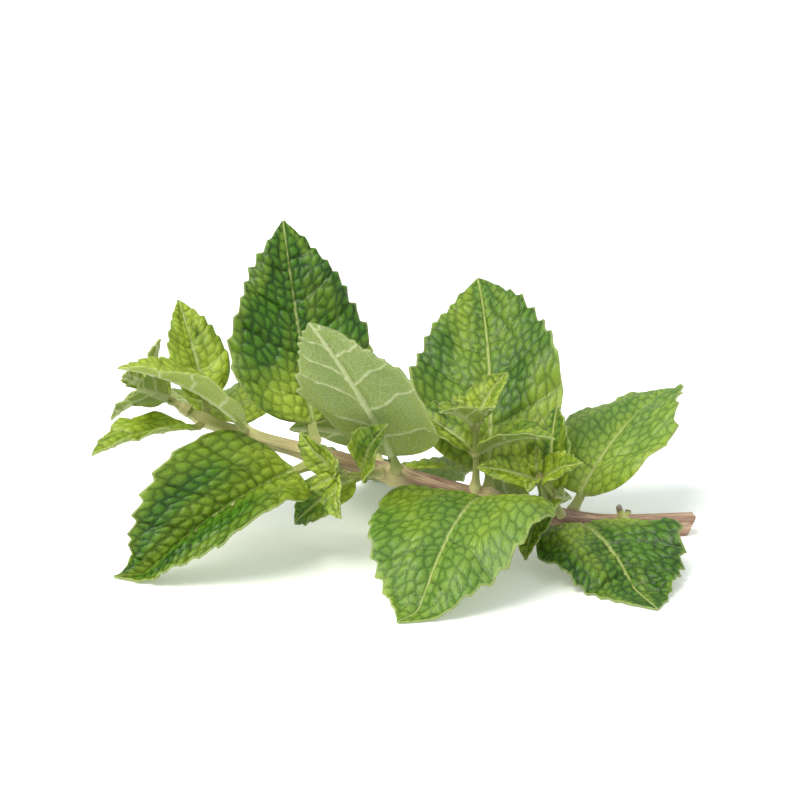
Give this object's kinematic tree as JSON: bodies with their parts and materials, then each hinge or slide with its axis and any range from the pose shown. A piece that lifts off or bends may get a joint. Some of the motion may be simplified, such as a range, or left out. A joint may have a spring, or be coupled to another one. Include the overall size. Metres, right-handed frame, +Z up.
{
  "type": "mint sprig",
  "caption": "Cut sprig of garden mint lying on its side: a square stem with paired toothed, quilted leaves, small leafy side shoots and a leafy tip.",
  "frame": {"origin": "middle of the sprig's box on the surface it lies on", "axes": "+X along the stem towards its cut end, +Z up, -Y the side called near"},
  "size_m": [0.11, 0.0911, 0.0578],
  "materials": {
    "stem_skin": "fine-haired reddish brown skin, greener towards the tip, with a pale pith at the cut",
    "leaf_green": "soft satin green blade, puffed between sunken veins, paler and matt beneath with raised veins",
    "young_leaf": "thin satin yellow-green young blade with a pale midrib"
  },
  "bodies": {
    "root": {"leaf_1_far": "leaf_green", "leaf_1_near": "leaf_green", "leaf_2_far": "leaf_green", "leaf_2_near": "leaf_green", "leaf_3_far": "leaf_green", "leaf_3_near": "leaf_green", "leaf_4_far": "leaf_green", "leaf_4_near": "leaf_green", "leaf_5_far": "leaf_green", "leaf_5_near": "young_leaf", "leaf_6_far": "leaf_green", "leaf_6_near": "leaf_green", "shoot_1_far": "young_leaf", "shoot_1_near": "young_leaf", "shoot_2_near": "young_leaf", "shoot_3_far": "young_leaf", "shoot_3_near": "young_leaf", "stem": "stem_skin", "tip_bud": "young_leaf"}
  },
  "joints": []
}
